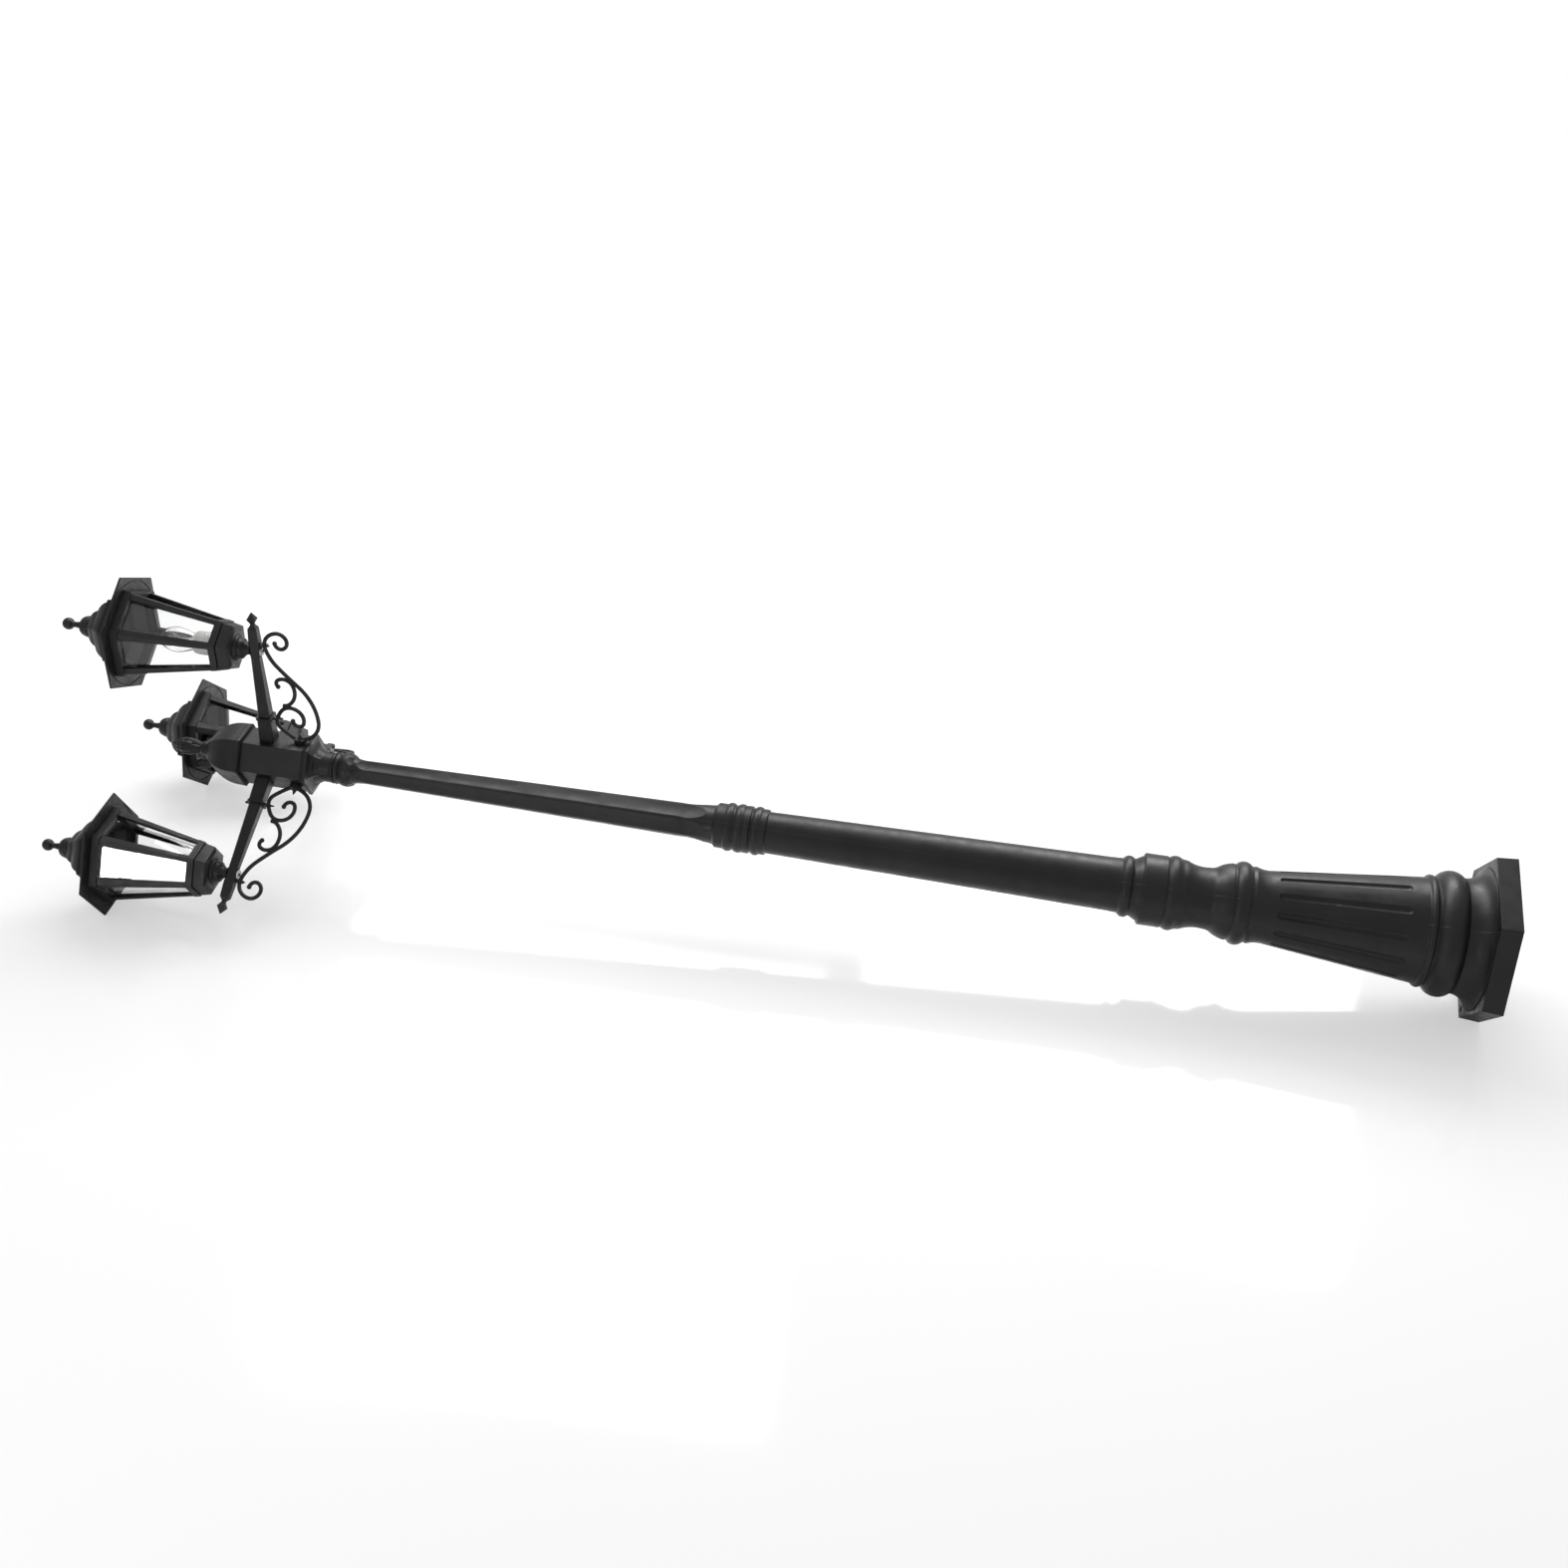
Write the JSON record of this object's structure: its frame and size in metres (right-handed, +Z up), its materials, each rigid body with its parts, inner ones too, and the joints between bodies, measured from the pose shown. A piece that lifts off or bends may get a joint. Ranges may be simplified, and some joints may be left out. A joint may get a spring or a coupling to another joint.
{
  "type": "triple head lamp post",
  "caption": "Tall garden lamp post with a fluted pedestal, scroll-bracket arms round a six-sided hub, and swivelling six-sided glazed lanterns with lift-off roofs.",
  "frame": {"origin": "centre of the base plate's underside, on the post's axis", "axes": "+Z up the post; -Y is the side the picture looks from, between the two front arms; +X to the right"},
  "size_m": [0.5286, 0.4918, 2.1987],
  "materials": {
    "dark_paint": "satin charcoal paint on cast metal",
    "black_rubber": "matte",
    "steel": "plain",
    "white_plastic": "matte",
    "pane_glass": "clear",
    "plated_cap": "plated",
    "lamp_glass": "clear"
  },
  "bodies": {
    "post": {"base_plate": "dark_paint", "pedestal": "dark_paint", "pedestal_screws": "steel", "coupling_sleeve": "dark_paint", "low_spigot": "steel", "lower_shaft": "dark_paint", "mid_spigot": "steel", "upper_shaft": "dark_paint", "hub_spigot": "steel", "hub": "dark_paint", "neck_screw": "steel", "terminal_block": "white_plastic", "arm_nuts": "steel", "cap_gasket": "black_rubber", "hub_cap": "dark_paint", "cap_stud": "steel", "hub_bud": "dark_paint", "right_arm": "dark_paint", "right_ferrule": "dark_paint", "right_spear": "dark_paint", "right_scroll": "dark_paint", "left_arm": "dark_paint", "left_ferrule": "dark_paint", "left_spear": "dark_paint", "left_scroll": "dark_paint", "back_arm": "dark_paint", "back_ferrule": "dark_paint", "back_spear": "dark_paint", "back_scroll": "dark_paint"},
    "right_lantern": {"right_stem": "steel", "right_stem_nut": "steel", "right_cup": "dark_paint", "right_cage": "dark_paint", "right_panes": "pane_glass", "right_lampholder": "white_plastic"},
    "right_roof_cover": {"right_roof": "dark_paint", "right_knob": "dark_paint"},
    "right_lamp": {"right_lamp_cap": "plated_cap", "right_lamp_glass": "lamp_glass"},
    "left_lantern": {"left_stem": "steel", "left_stem_nut": "steel", "left_cup": "dark_paint", "left_cage": "dark_paint", "left_panes": "pane_glass", "left_lampholder": "white_plastic"},
    "left_roof_cover": {"left_roof": "dark_paint", "left_knob": "dark_paint"},
    "left_lamp": {"left_lamp_cap": "plated_cap", "left_lamp_glass": "lamp_glass"},
    "back_lantern": {"back_stem": "steel", "back_stem_nut": "steel", "back_cup": "dark_paint", "back_cage": "dark_paint", "back_panes": "pane_glass", "back_lampholder": "white_plastic"},
    "back_roof_cover": {"back_roof": "dark_paint", "back_knob": "dark_paint"},
    "back_lamp": {"back_lamp_cap": "plated_cap", "back_lamp_glass": "lamp_glass"}
  },
  "joints": [
    {"name": "right_swivel", "type": "hinge", "parent": "post", "child": "right_lantern", "pos_m": [0.17303, -0.0999, 1.8935], "axis": [0, 0, 1], "range_deg": [-170, 170]},
    {"name": "right_roof_lift", "type": "slide", "parent": "right_lantern", "child": "right_roof_cover", "axis": [0, 0, 1], "range_m": [0, 0.12]},
    {"name": "right_lamp_turn", "type": "hinge", "parent": "right_lantern", "child": "right_lamp", "pos_m": [0.17303, -0.0999, 1.9735], "axis": [0, 0, 1], "range_deg": [0, 720]},
    {"name": "left_swivel", "type": "hinge", "parent": "post", "child": "left_lantern", "pos_m": [-0.17303, -0.0999, 1.8935], "axis": [0, 0, 1], "range_deg": [-170, 170]},
    {"name": "left_roof_lift", "type": "slide", "parent": "left_lantern", "child": "left_roof_cover", "axis": [0, 0, 1], "range_m": [0, 0.12]},
    {"name": "left_lamp_turn", "type": "hinge", "parent": "left_lantern", "child": "left_lamp", "pos_m": [-0.17303, -0.0999, 1.9735], "axis": [0, 0, 1], "range_deg": [0, 720]},
    {"name": "back_swivel", "type": "hinge", "parent": "post", "child": "back_lantern", "pos_m": [0, 0.1998, 1.8935], "axis": [0, 0, 1], "range_deg": [-170, 170]},
    {"name": "back_roof_lift", "type": "slide", "parent": "back_lantern", "child": "back_roof_cover", "axis": [0, 0, 1], "range_m": [0, 0.12]},
    {"name": "back_lamp_turn", "type": "hinge", "parent": "back_lantern", "child": "back_lamp", "pos_m": [0, 0.1998, 1.9735], "axis": [0, 0, 1], "range_deg": [0, 720]}
  ]
}
